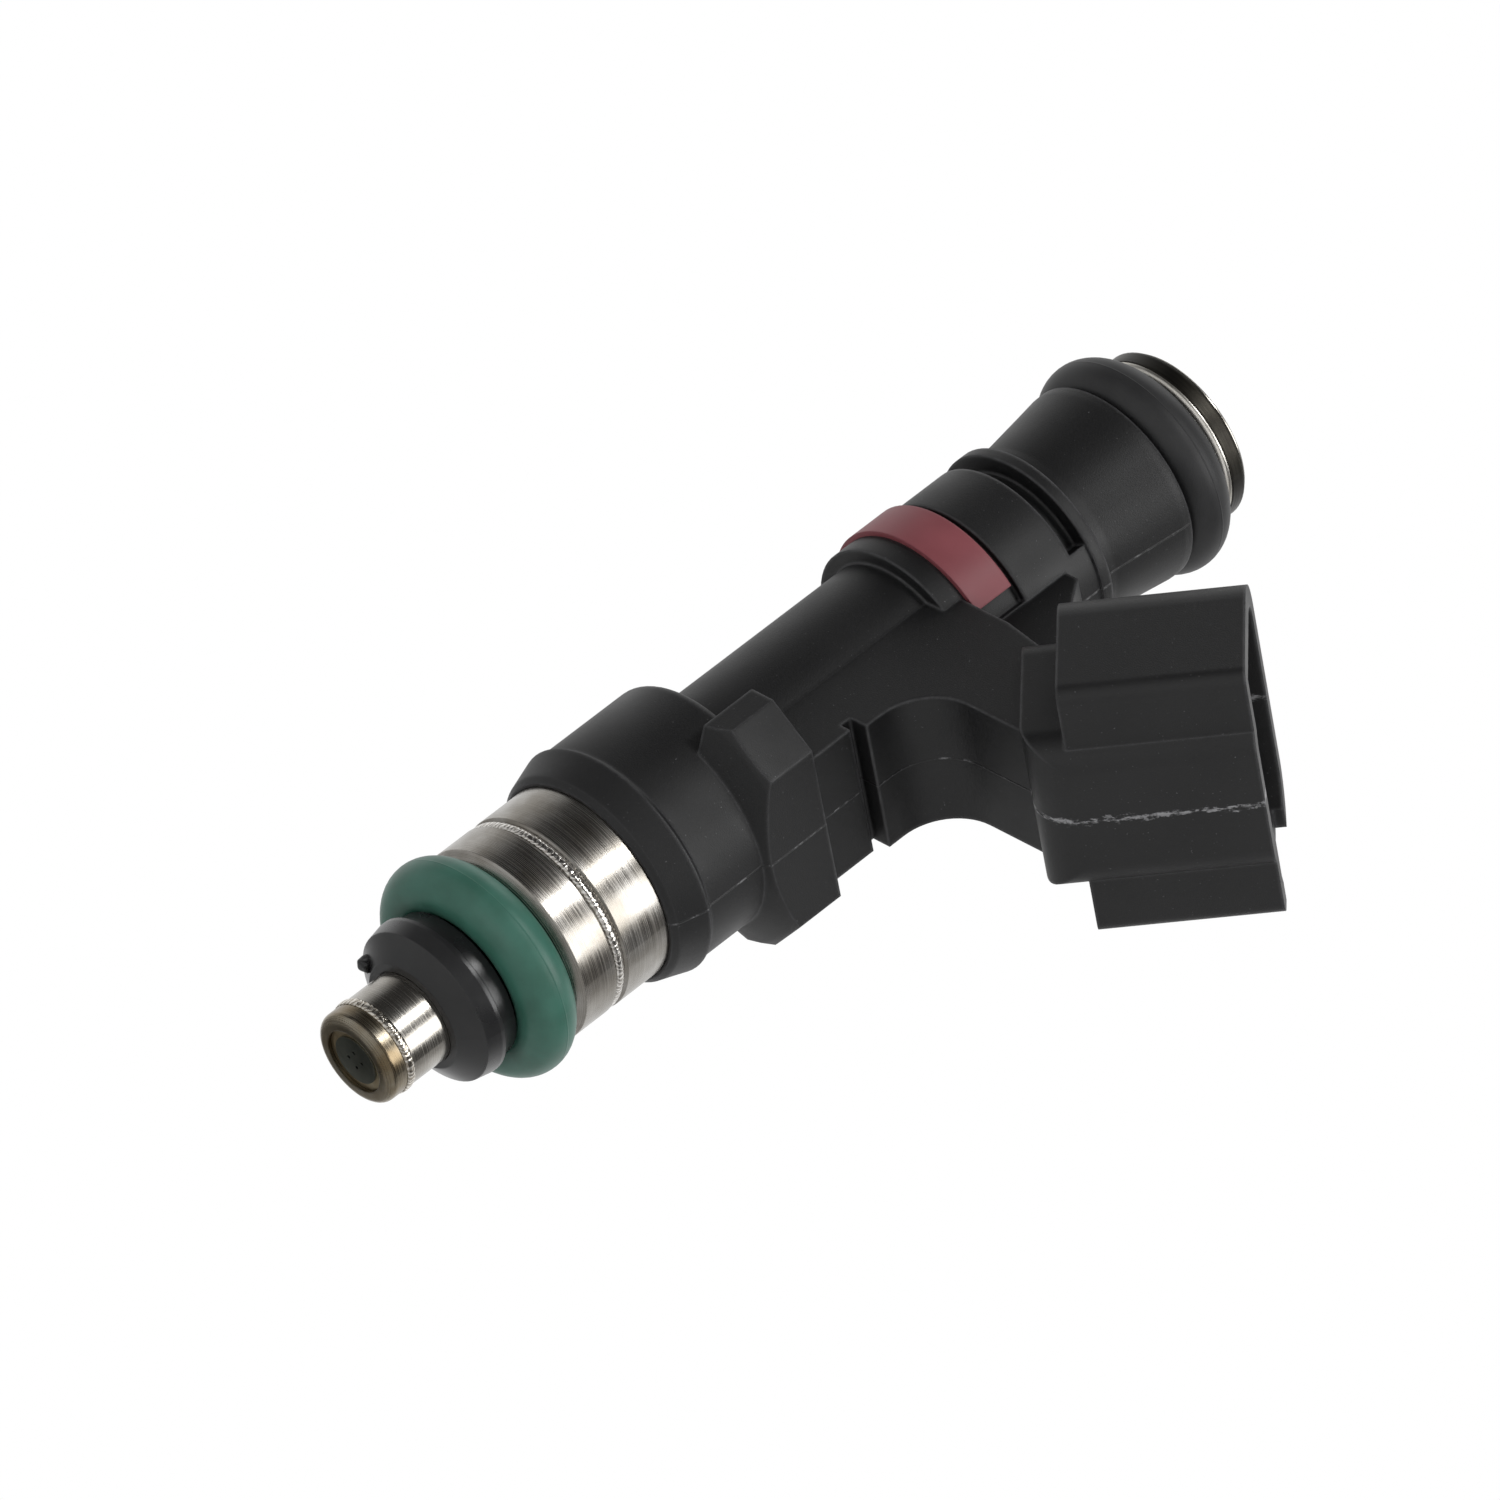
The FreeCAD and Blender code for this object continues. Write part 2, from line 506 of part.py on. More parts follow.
# socket: a deep core with a wing on each side, rounded along its corners
coreBack = "-socket_thickness + core_round"
coreFace = newSketch(mould, "socket_core", "XY_Plane", socketShift, "socket_tilt")
outline(coreFace, [
    ("0", "core_width / 2 - core_round", "-core_round"), ("-core_round", "core_width / 2"),
    (coreBack, "core_width / 2", coreBack), ("-socket_thickness", "core_width / 2 - core_round"),
    ("-socket_thickness", "-core_width / 2 + core_round", coreBack), (coreBack, "-core_width / 2"),
    ("-core_round", "-core_width / 2", "-core_round"), ("0", "-core_width / 2 + core_round")])
raised(mould, coreFace, "core_length", reverse=True)
coreRear = newSketch(mould, "core_rear", "XZ_Plane")
rearCentre = socketPoint("-core_length + core_rear_round", "-core_rear_round")
outline(coreRear, [
    socketPoint("-core_length", "-core_rear_round") + rearCentre[:1],
    socketPoint("-core_length + core_rear_round", "0"), socketPoint("-core_length + core_rear_round", "1"),
    socketPoint("-core_length - 1", "1"), socketPoint("-core_length - 1", "-core_rear_round")])
raised(mould, coreRear, "core_width + 1", cut=True, both=True)

wingEdge, wingBack = "-core_rise - wing_round", "-socket_thickness + back_round"
wingFace = newSketch(mould, "socket_wings", "XY_Plane", socketShift, "socket_tilt")
outline(wingFace, [
    ("-core_rise", "-socket_width / 2 + wing_round"),
    ("-core_rise", "socket_width / 2 - wing_round", wingEdge), (wingEdge, "socket_width / 2"),
    (wingBack, "socket_width / 2", wingBack), ("-socket_thickness", "socket_width / 2 - back_round"),
    ("-socket_thickness", "-socket_width / 2 + back_round", wingBack), (wingBack, "-socket_width / 2"),
    (wingEdge, "-socket_width / 2", wingEdge)])
raised(mould, wingFace, "wing_length", reverse=True)

# mating cavity of the socket
hollow = newSketch(mould, "socket_hollow", "XY_Plane", socketShift, "socket_tilt")
innerSide, innerCore = "socket_width / 2 - socket_wall", "core_width / 2 - socket_wall"
innerWing, innerBack = "-core_rise - socket_wall", "-socket_thickness + socket_wall"
innerEdge = innerSide + " - (back_round - socket_wall)"
outline(hollow, [
    ("-socket_wall", "-(" + innerCore + " - core_round / 2)"),
    ("-socket_wall", innerCore + " - core_round / 2"),
    (innerWing, innerCore), (innerWing, innerSide), (wingBack, innerSide, wingBack), (innerBack, innerEdge),
    (innerBack, "-(" + innerEdge + ")", wingBack), (wingBack, "-(" + innerSide + ")"),
    (innerWing, "-(" + innerSide + ")"), (innerWing, "-(" + innerCore + ")")])
raised(mould, hollow, "socket_depth", cut=True)

# latch notch in one side of the rim
notch = newSketch(mould, "rim_notch", "XZ_Plane", ("0", "0", "-core_width / 2"))
outline(notch, [
    socketPoint("1", "-rim_notch_foot"), socketPoint("-rim_notch", "-rim_notch_foot"),
    socketPoint("-rim_notch", "-rim_notch_top"), socketPoint("0", "-rim_notch_ramp"),
    socketPoint("1", "-rim_notch_ramp")])
raised(mould, notch, "socket_width / 2", cut=True)

# colour ring groove and clip slot, open all round but at the web
for name, foot, top, floor, bridge in (
        ("ring_groove", "collar_top", "groove_top", "groove_floor", "bridge_angle"),
        ("clip_slot", "band_top", "slot_top", "slot_floor", "slot_bridge")):
    slot = newSketch(mould, name, "XZ_Plane")
    outline(slot, [("-" + floor, foot), ("-band_radius - 0.8", foot), ("-band_radius - 0.8", top),
                   ("-" + floor, top)])
    turned(mould, slot, cut=True, angle="360 - " + bridge)

# bore for the steel parts, then the terminals' way through the web
bore = newSketch(mould, "steel_bore", "XZ_Plane")
outline(bore, [
    ("0", "edge_foot - 1"), ("housing_radius + press_gap", "edge_foot - 1"),
    ("housing_radius + press_gap", "housing_top + press_gap"),
    (sealFloor + " + press_gap", "housing_top + press_gap"),
    (sealFloor + " + press_gap", coneEnd + " + 1"), ("0", coneEnd + " + 1")])
turned(mould, bore, cut=True)
for side in ("left", "right"):
    pinPath(mould, side, cut=True)

# ---------------------------------------------------------------- check and write
doc.recompute()
pieces = [item for item in doc.Objects
          if item.TypeId in ("PartDesign::Body", "Part::Sphere") or item.Label == "return_spring"]
for item in doc.Objects:
    if "Invalid" in item.State or "Error" in item.State:
        raise RuntimeError("failed: %s %s" % (item.Name, item.State))
for piece in pieces:
    if piece.Shape.isNull() or not piece.Shape.isValid() or len(piece.Shape.Solids) != 1:
        raise RuntimeError("bad shape: %s" % piece.Label)
for piece in pieces:
    piece.Shape.exportStep("parts/%s.step" % piece.Label)
    box = piece.Shape.BoundBox
    print("%-20s %9.2f mm3  x %.2f..%.2f  y %.2f..%.2f  z %.2f..%.2f" % (
        piece.Label, piece.Shape.Volume, box.XMin, box.XMax, box.YMin, box.YMax, box.ZMin, box.ZMax))
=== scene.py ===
import bpy, math
from mathutils import Matrix, Vector


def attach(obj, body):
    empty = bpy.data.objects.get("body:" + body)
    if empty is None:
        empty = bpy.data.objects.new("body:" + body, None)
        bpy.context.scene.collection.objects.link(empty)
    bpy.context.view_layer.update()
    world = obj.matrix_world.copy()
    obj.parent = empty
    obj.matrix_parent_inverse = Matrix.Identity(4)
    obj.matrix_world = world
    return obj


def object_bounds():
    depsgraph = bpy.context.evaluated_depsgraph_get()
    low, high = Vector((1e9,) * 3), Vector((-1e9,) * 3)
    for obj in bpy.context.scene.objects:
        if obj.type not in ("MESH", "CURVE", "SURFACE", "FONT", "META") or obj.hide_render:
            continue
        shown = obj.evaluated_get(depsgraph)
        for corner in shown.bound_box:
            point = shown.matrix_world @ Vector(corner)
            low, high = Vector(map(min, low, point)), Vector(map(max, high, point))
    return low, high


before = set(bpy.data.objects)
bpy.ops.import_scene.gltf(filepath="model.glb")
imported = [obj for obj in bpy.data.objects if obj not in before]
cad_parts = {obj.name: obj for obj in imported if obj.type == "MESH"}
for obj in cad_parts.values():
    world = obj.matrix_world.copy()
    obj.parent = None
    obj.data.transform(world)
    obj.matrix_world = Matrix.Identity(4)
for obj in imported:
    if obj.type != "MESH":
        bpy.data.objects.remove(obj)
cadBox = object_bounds()
bpy.ops.object.select_all(action="DESELECT")
mm = 0.001
print("frame loaded, %d nodes" % len(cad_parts))


def hexColour(text, alpha=1.0):
    # sRGB hex to the linear values that the shader sockets take
    parts = [int(text[i:i + 2], 16) / 255 for i in (0, 2, 4)]
    return tuple(c / 12.92 if c <= 0.04045 else ((c + 0.055) / 1.055) ** 2.4 for c in parts) + (alpha,)


def addNode(tree, kind, inputs=None, **settings):
    # one node with its settings; an input is a value or another node's output
    node = tree.nodes.new("ShaderNode" + kind)
    for name, value in settings.items():
        setattr(node, name, value)
    for socket, value in (inputs or {}).items():
        if isinstance(value, bpy.types.NodeSocket):
            tree.links.new(value, node.inputs[socket])
        else:
            node.inputs[socket].default_value = value
    return node


def mixColour(tree, factor, first, second):
    # the colour between two, each a hex text or another node's output
    node = addNode(tree, "Mix", {0: factor}, data_type="RGBA")
    for slot, shade in ((6, first), (7, second)):
        if isinstance(shade, str):
            node.inputs[slot].default_value = hexColour(shade)
        else:
            tree.links.new(shade, node.inputs[slot])
    return node.outputs[2]


def newMaterial(name):
    material = bpy.data.materials.new(name)
    material.use_nodes = True
    material.node_tree.nodes.clear()
    return material, material.node_tree


def addNoise(tree, place, size, detail, roughness=0.5):
    # noise in grains of about this size
    node = addNode(tree, "TexNoise", {"Vector": place, "Scale": 1 / size, "Detail": detail,
                                      "Roughness": roughness})
    return node.outputs[0]


def addRange(tree, value, band, low=0.0, high=1.0):
    # a value spread from low to high where it crosses the band
    node = addNode(tree, "MapRange", {"Value": value, "From Min": band[0], "From Max": band[1],
                                      "To Min": low, "To Max": high})
    return node.outputs[0]


def addMath(tree, operation, *values):
    return addNode(tree, "Math", dict(enumerate(values)), operation=operation).outputs[0]


def addBump(tree, bump, height, normal=None):
    # bump is a strength and a distance
    inputs = {"Strength": bump[0], "Distance": bump[1], "Height": height}
    if normal:
        inputs["Normal"] = normal
    return addNode(tree, "Bump", inputs).outputs[0]


def addRamp(tree, factor, look, band):
    # shade below the band and colour above it
    ramp = addNode(tree, "ValToRGB", {"Fac": factor})
    for stop, position, tone in zip(ramp.color_ramp.elements, band, (look["shade"], look["colour"])):
        stop.position = position
        stop.color = hexColour(tone)
    return ramp.outputs[0]


def addSurface(tree, inputs):
    shader = addNode(tree, "BsdfPrincipled", inputs)
    addNode(tree, "OutputMaterial", {"Surface": shader.outputs[0]})


# black body: 30% glass-filled nylon, injection moulded: dark, fine matte grain, pale flecks of dust, edges
# paler, partly polished by handling and partly a painted highlight where the rounded edges catch the
# light, a parting line in the plane Y = 0 with pale scuffs on the core
bodyNylon = {"colour": "101011", "wornAndHighlit": "565658", "scuffed": "8e8e90", "fleck": "5c5c5e",
             "roughness": 0.5, "glossier": 0.05, "duller": 0.06, "gloss": 0.42,
             "grain": 0.09 * mm, "flow": 6 * mm, "flowBand": (0.3, 0.7),
             "edgeRadius": 0.36 * mm, "edgeBand": (0.86, 0.985),
             "lineWidth": 0.09 * mm, "scuffSize": 0.7 * mm, "scuffBand": (0.52, 0.68),
             "coreStart": 16 * mm, "scuffReach": 0.42 * mm, "nearBoost": 0.16,
             "tear": 0.45 * mm, "tearStretch": (0.5, 1.0, 0.5), "chafeBand": (0.6, 0.7),
             "fleckSize": 0.15 * mm, "fleckBand": (0.74, 0.86),
             "lineBump": (0.7, 0.06 * mm), "skinBump": (0.5, 0.03 * mm)}
plasticIor = 1.5


def partingLine(tree, place):
    # the line's height, the noise that wears it, and how pale it is worn
    axes = addNode(tree, "SeparateXYZ", {0: place})
    away = addMath(tree, "ABSOLUTE", axes.outputs["Y"])
    line = addRange(tree, away, (0.0, bodyNylon["lineWidth"]), 1.0, 0.0)
    scuff = addNoise(tree, place, bodyNylon["scuffSize"], 5.0, 0.7)
    scuffed = addRange(tree, scuff, bodyNylon["scuffBand"])
    thinLine = addMath(tree, "MULTIPLY", line, scuffed)
    onCore = addMath(tree, "GREATER_THAN", axes.outputs["X"], bodyNylon["coreStart"])
    nearLine = addRange(tree, away, (0.0, bodyNylon["scuffReach"]), bodyNylon["nearBoost"], 0.0)
    scratch = addNode(tree, "Mapping", {"Vector": place, "Scale": bodyNylon["tearStretch"]})
    torn = addNoise(tree, scratch.outputs[0], bodyNylon["tear"], 6.0, 0.75)
    rubbed = addMath(tree, "ADD", torn, nearLine)
    chafed = addRange(tree, rubbed, bodyNylon["chafeBand"])
    reach = addMath(tree, "LESS_THAN", away, bodyNylon["scuffReach"])
    patch = addMath(tree, "MULTIPLY", chafed, onCore)
    kept = addMath(tree, "MULTIPLY", patch, reach)
    return line, scuff, addMath(tree, "MAXIMUM", thinLine, kept)


def mouldedNylon():
    material, tree = newMaterial("glassFilledNylonMoulded")
    place = addNode(tree, "TexCoord").outputs["Object"]
    grain = addNoise(tree, place, bodyNylon["grain"], 3.0, 0.6)
    flow = addNoise(tree, place, bodyNylon["flow"], 2.0)
    line, scuff, paleLine = partingLine(tree, place)
    soft = addNode(tree, "Bevel", {"Radius": bodyNylon["edgeRadius"]}, samples=6).outputs[0]
    flat = addNode(tree, "NewGeometry").outputs["Normal"]
    bend = addNode(tree, "VectorMath", {0: soft, 1: flat}, operation="DOT_PRODUCT").outputs["Value"]
    edge = addRange(tree, bend, bodyNylon["edgeBand"], 1.0, 0.0)
    edgeWearAndHighlight = addMath(tree, "MULTIPLY", edge, scuff)
    dust = addNoise(tree, place, bodyNylon["fleckSize"], 1.0)
    fleck = addRange(tree, dust, bodyNylon["fleckBand"])
    # edges lightened towards the worn colour: real wear from handling plus a painted highlight on the
    # rounded edges
    polishedAndHighlit = mixColour(tree, edgeWearAndHighlight, bodyNylon["colour"], bodyNylon["wornAndHighlit"])
    dusty = mixColour(tree, fleck, polishedAndHighlit, bodyNylon["fleck"])
    colour = mixColour(tree, paleLine, dusty, bodyNylon["scuffed"])
    rough = addRange(tree, flow, bodyNylon["flowBand"], bodyNylon["roughness"] - bodyNylon["glossier"],
                     bodyNylon["roughness"] + bodyNylon["duller"])
    ridge = addBump(tree, bodyNylon["lineBump"], line, soft)
    skin = addBump(tree, bodyNylon["skinBump"], grain, ridge)
    addSurface(tree, {"Base Color": colour, "Roughness": rough, "IOR": plasticIor,
                      "Specular IOR Level": bodyNylon["gloss"], "Normal": skin})
    return material


# plain moulded plastics: unfilled nylon and acetal, smoother than the body
plasticSkin = {"band": (0.3, 0.7), "glossier": 0.04, "duller": 0.05, "bump": (0.2, 0.01 * mm)}


def mouldedPlastic(name, look):
    material, tree = newMaterial(name)
    place = addNode(tree, "TexCoord").outputs["Object"]
    flow = addNoise(tree, place, look["flow"], 3.0)
    grain = addNoise(tree, place, look["grain"], 2.0)
    tint = addRamp(tree, flow, look, plasticSkin["band"])
    rough = addRange(tree, flow, plasticSkin["band"], look["roughness"] - plasticSkin["glossier"],
                     look["roughness"] + plasticSkin["duller"])
    soft = addNode(tree, "Bevel", {"Radius": look["edgeRadius"]}, samples=4).outputs[0]
    skin = addBump(tree, plasticSkin["bump"], grain, soft)
    addSurface(tree, {"Base Color": tint, "Roughness": rough, "IOR": plasticIor,
                      "Specular IOR Level": look["gloss"], "Normal": skin})
    return material


# sealing rubber: fluoroelastomer, compression moulded: soft sheen, faint line round the waist
rubberSkin = {"mottle": 2.2 * mm, "grain": 0.12 * mm, "band": (0.35, 0.65), "lineWidth": 0.06 * mm,
              "lineBump": (0.35, 0.03 * mm), "bump": (0.15, 0.01 * mm)}


def mouldedRubber(name, look, height):
    material, tree = newMaterial(name)
    place = addNode(tree, "TexCoord").outputs["Object"]
    mottle = addNoise(tree, place, rubberSkin["mottle"], 4.0)
    grain = addNoise(tree, place, rubberSkin["grain"], 3.0)
    tint = addRamp(tree, mottle, look, rubberSkin["band"])
    axes = addNode(tree, "SeparateXYZ", {0: place})
    level = addMath(tree, "SUBTRACT", axes.outputs["Z"], height)
    away = addMath(tree, "ABSOLUTE", level)
    line = addRange(tree, away, (0.0, rubberSkin["lineWidth"]), 1.0, 0.0)
    ridge = addBump(tree, rubberSkin["lineBump"], line)
    skin = addBump(tree, rubberSkin["bump"], grain, ridge)
    addSurface(tree, {"Base Color": tint, "Roughness": look["roughness"], "IOR": plasticIor,
                      "Specular IOR Level": look["gloss"], "Normal": skin})
    return material


# turned or drawn metal: fine rings round the axis in tone, gloss and height, mild warm stains
metalSkin = {"across": 25.0, "sparkle": 0.16 * mm, "stain": 2.4 * mm, "stainBand": (0.36, 0.64),
             "lineBand": (0.38, 0.6), "glossBand": (0.35, 0.65), "glossier": 0.05, "duller": 0.1,
             "cutDepth": 0.006 * mm, "grainDepth": 0.004 * mm, "anisotropy": 0.35}


def turnedSteel(name, look):
    material, tree = newMaterial(name)
    place = addNode(tree, "TexCoord").outputs["Object"]
    stretch = (metalSkin["across"], metalSkin["across"], 1 / look["line"])
    rings = addNode(tree, "Mapping", {"Vector": place, "Scale": stretch})
    turned = addNoise(tree, rings.outputs[0], 1.0, 3.0, 0.55)
    sparkle = addNoise(tree, place, metalSkin["sparkle"], 3.0, 0.7)
    stain = addNoise(tree, place, metalSkin["stain"], 4.0)
    stained = addRange(tree, stain, metalSkin["stainBand"])
    lined = addRange(tree, turned, metalSkin["lineBand"], look["lineTone"], 0.0)
    plain = mixColour(tree, stained, look["shade"], look["colour"])
    tint = mixColour(tree, lined, plain, look["lineColour"])
    rough = addRange(tree, turned, metalSkin["glossBand"], look["roughness"] - metalSkin["glossier"],
                     look["roughness"] + metalSkin["duller"])
    soft = addNode(tree, "Bevel", {"Radius": look["edgeRadius"]}, samples=6).outputs[0]
    cut = addBump(tree, (look["depth"], metalSkin["cutDepth"]), turned, soft)
    skin = addBump(tree, (look["grain"], metalSkin["grainDepth"]), sparkle, cut)
    around = addNode(tree, "Tangent", direction_type="RADIAL", axis="Z")
    addSurface(tree, {"Base Color": tint, "Metallic": 1.0, "Roughness": rough,
                      "Anisotropic": metalSkin["anisotropy"], "Tangent": around.outputs[0],
                      "Normal": skin})
    return material


# weld bead: bright, rippled along the seam where each pulse of the beam froze; its colour follows the
# ripples as a painted highlight on the crests and painted shade in the troughs
weldSkin = {"wander": 0.5 * mm, "drift": 16.0, "bow": 2.6, "bump": (0.7, 0.012 * mm)}


def weldedSteel(name, look):
    material, tree = newMaterial(name)
    place = addNode(tree, "TexCoord").outputs["Object"]
    axes = addNode(tree, "SeparateXYZ", {0: place})
    angle = addMath(tree, "ARCTAN2", axes.outputs["Y"], axes.outputs["X"])
    level = addMath(tree, "SUBTRACT", axes.outputs["Z"], look["level"])
    share = addMath(tree, "DIVIDE", level, look["height"] / 2)
    curve = addMath(tree, "MULTIPLY", share, share)
    wander = addNoise(tree, place, weldSkin["wander"], 3.0)
    drift = addMath(tree, "MULTIPLY", wander, weldSkin["drift"])
    turns = addMath(tree, "MULTIPLY", angle, look["pulses"])
    bowed = addMath(tree, "MULTIPLY_ADD", curve, weldSkin["bow"], drift)
    phase = addMath(tree, "ADD", turns, bowed)
    ripple = addMath(tree, "SINE", phase)
    # colour from the ripple: painted shade in the troughs, painted highlight on the crests
    tone = addRange(tree, ripple, (-1.0, 1.0))
    tint = mixColour(tree, tone, look["shade"], look["colour"])
    skin = addBump(tree, weldSkin["bump"], ripple)
    addSurface(tree, {"Base Color": tint, "Metallic": 1.0, "Roughness": look["roughness"],
                      "Normal": skin})
    return material


steelCan = {"colour": "b0ada8", "shade": "8f8a82", "lineColour": "5d5851", "lineTone": 0.5,
            "roughness": 0.23, "line": 0.05 * mm, "depth": 0.4, "grain": 0.5, "edgeRadius": 0.12 * mm}
steelTube = {"colour": "b4b1ab", "shade": "98938b", "lineColour": "67625a", "lineTone": 0.35,
             "roughness": 0.2, "line": 0.07 * mm, "depth": 0.3, "grain": 0.5, "edgeRadius": 0.1 * mm}
steelTip = {"colour": "a09a8c", "shade": "7d6f58", "lineColour": "4c4032", "lineTone": 0.4,
            "roughness": 0.24, "line": 0.07 * mm, "depth": 0.35, "grain": 0.5, "edgeRadius": 0.12 * mm}
# valve seat: lapped face whose pale colour is partly painted light that lifts the shade of its recess
steelSeatPaintedLight = {"colour": "d8cdb4", "shade": "b3a182", "lineColour": "77674b", "lineTone": 0.4,
             "roughness": 0.42, "line": 0.07 * mm, "depth": 0.3, "grain": 0.3, "edgeRadius": 0.06 * mm}
# retainer ring: steel painted near black, a painted reflection of the dark room in its flared band
steelPaintedDarkReflection = {"colour": "3a3833", "shade": "2b2926", "lineColour": "1d1b18", "lineTone": 0.3,
             "roughness": 0.38, "line": 0.1 * mm, "depth": 0.2, "grain": 0.3, "edgeRadius": 0.25 * mm}
steelPlate = {"colour": "7f837c", "shade": "6b6f68", "lineColour": "4c4f49", "lineTone": 0.3,
              "roughness": 0.4, "line": 0.3 * mm, "depth": 0.1, "grain": 0.2, "edgeRadius": 0.04 * mm}
steelCore = {"colour": "b9b9b6", "shade": "a2a29f", "lineColour": "7b7b78", "lineTone": 0.4,
             "roughness": 0.34, "line": 0.12 * mm, "depth": 0.3, "grain": 0.2, "edgeRadius": 0.08 * mm}
brassPart = {"colour": "d6b878", "shade": "b8985a", "lineColour": "8a6d3a", "lineTone": 0.3,
             "roughness": 0.3, "line": 0.12 * mm, "depth": 0.3, "grain": 0.2, "edgeRadius": 0.08 * mm}
copperWire = {"colour": "b5683c", "shade": "8a4526", "lineColour": "5e2c16", "lineTone": 0.8,
              "roughness": 0.35, "line": 0.24 * mm, "depth": 1.0, "grain": 0.2, "edgeRadius": 0.05 * mm}
greenSeal = {"colour": "38685a", "shade": "305d4f", "roughness": 0.42, "gloss": 0.45}
blackSeal = {"colour": "262627", "shade": "202021", "roughness": 0.5, "gloss": 0.4}
glossyRing = {"colour": "242425", "shade": "1c1c1d", "roughness": 0.3, "gloss": 0.5, "flow": 3 * mm,
              "grain": 0.1 * mm, "edgeRadius": 0.12 * mm}
redRing = {"colour": "85464c", "shade": "783d43", "roughness": 0.45, "gloss": 0.4, "flow": 4 * mm,
           "grain": 0.1 * mm, "edgeRadius": 0.15 * mm}
innerNylon = {"colour": "2b2b2c", "shade": "242425", "roughness": 0.5, "gloss": 0.4, "flow": 3 * mm,
              "grain": 0.1 * mm, "edgeRadius": 0.08 * mm}
meshCloth = {"colour": "cfcab8", "shade": "b9b39d", "roughness": 0.6, "gloss": 0.3, "flow": 1 * mm,
             "grain": 0.06 * mm, "edgeRadius": 0.03 * mm}

bodyMaterial = mouldedNylon()
canMaterial = turnedSteel("stainlessTurned", steelCan)
tubeMaterial = turnedSteel("stainlessDeepDrawn", steelTube)
tipMaterial = turnedSteel("stainlessHeatTinted", steelTip)
plateMaterial = turnedSteel("stainlessEtched", steelPlate)
coreMaterial = turnedSteel("ferriticSteelGround", steelCore)
brassMaterial = turnedSteel("brassTinned", brassPart)
wireMaterial = turnedSteel("copperWireWound", copperWire)
ringMaterial = mouldedPlastic("nylonGlossMoulded", glossyRing)
innerMaterial = mouldedPlastic("nylonBobbinMoulded", innerNylon)
sealSpacing = 55.2 * mm
finish = {
    "overmould_body": bodyMaterial, "magnet_housing": canMaterial, "valve_sleeve": tubeMaterial,
    "nozzle_cup": tipMaterial, "valve_seat": turnedSteel("stainlessLappedPaintedLight", steelSeatPaintedLight),
    "orifice_plate": plateMaterial, "support_ring": ringMaterial,
    # the retainer ring's dark colour is a painted dark reflection
    "retainer_ring": turnedSteel("stainlessPaintedDarkReflection", steelPaintedDarkReflection), "inlet_tube": tubeMaterial,
    "lower_o_ring": mouldedRubber("fluoroRubberGreen", greenSeal, 0.0),
    "upper_o_ring": mouldedRubber("fluoroRubberBlack", blackSeal, sealSpacing),
    "colour_ring": mouldedPlastic("nylonRedMoulded", redRing), "coil_bobbin": innerMaterial,
    "filter_frame": innerMaterial, "filter_mesh": mouldedPlastic("nylonMeshWoven", meshCloth),
    "coil_winding": wireMaterial, "filter_collar": brassMaterial, "terminal_pin_left": brassMaterial,
    "terminal_pin_right": brassMaterial, "flux_washer": coreMaterial, "pole_core": coreMaterial,
    "adjusting_sleeve": plateMaterial, "return_spring": plateMaterial, "armature": coreMaterial,
    "needle_tube": tubeMaterial, "valve_ball": tubeMaterial}
for node, material in finish.items():
    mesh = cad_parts[node].data
    mesh.materials.clear()
    mesh.materials.append(material)
print("finishes on %d nodes" % len(finish))

# camera: its right, up and back directions in the part's frame
cameraView = {"right": (0.7008, 0.155, 0.697), "up": (-0.356, -0.763, 0.532), "distance": 850 * mm,
              "target": (0, 0, 23.1 * mm), "across": -0.41 * mm, "rise": 0.21 * mm, "lens": 349.2,
              "near": 10 * mm, "far": 20}
right = Vector(cameraView["right"]).normalized()
up = Vector(cameraView["up"])
up = (up - right * up.dot(right)).normalized()
back = right.cross(up)
target = Vector(cameraView["target"]) + right * cameraView["across"] + up * cameraView["rise"]
cameraData = bpy.data.cameras.new("studioCamera")
cameraData.lens = cameraView["lens"]
cameraData.clip_start, cameraData.clip_end = cameraView["near"], cameraView["far"]
camera = bpy.data.objects.new("studioCamera", cameraData)
bpy.context.collection.objects.link(camera)
turn = Matrix((right, up, back)).transposed().to_4x4()
camera.matrix_world = Matrix.Translation(target + back * cameraView["distance"]) @ turn
bpy.context.scene.camera = camera

mergeGap = 0.002 * mm


# a flat ellipse spun round the axis, as uneven as the look says
def spunBead(name, look, material):
    bpy.ops.object.select_all(action="DESELECT")
    bpy.ops.mesh.primitive_circle_add(vertices=look["sides"], radius=look["height"] / 2,
                                      rotation=(math.pi / 2, 0, 0))
    bead = bpy.context.object
    bead.name = name
    bpy.ops.object.transform_apply(rotation=True)
    bpy.ops.object.mode_set(mode="EDIT")
    bpy.ops.mesh.select_all(action="SELECT")
    bpy.ops.transform.resize(value=(look["rise"] * 2 / look["height"], 1, 1))
    bpy.ops.transform.translate(value=(look["radius"], 0, look["level"]))
    bpy.ops.mesh.spin(steps=look["steps"], angle=2 * math.pi, center=(0, 0, look["level"]), axis=(0, 0, 1))
    bpy.ops.mesh.select_all(action="SELECT")
    bpy.ops.mesh.remove_doubles(threshold=mergeGap)
    bpy.ops.mesh.normals_make_consistent(inside=False)
    bpy.ops.transform.vertex_random(offset=look["uneven"], seed=look["seed"])
    bpy.ops.object.mode_set(mode="OBJECT")
    bpy.ops.object.shade_smooth()
    bead.data.materials.append(material)
    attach(bead, "body")
    return bead


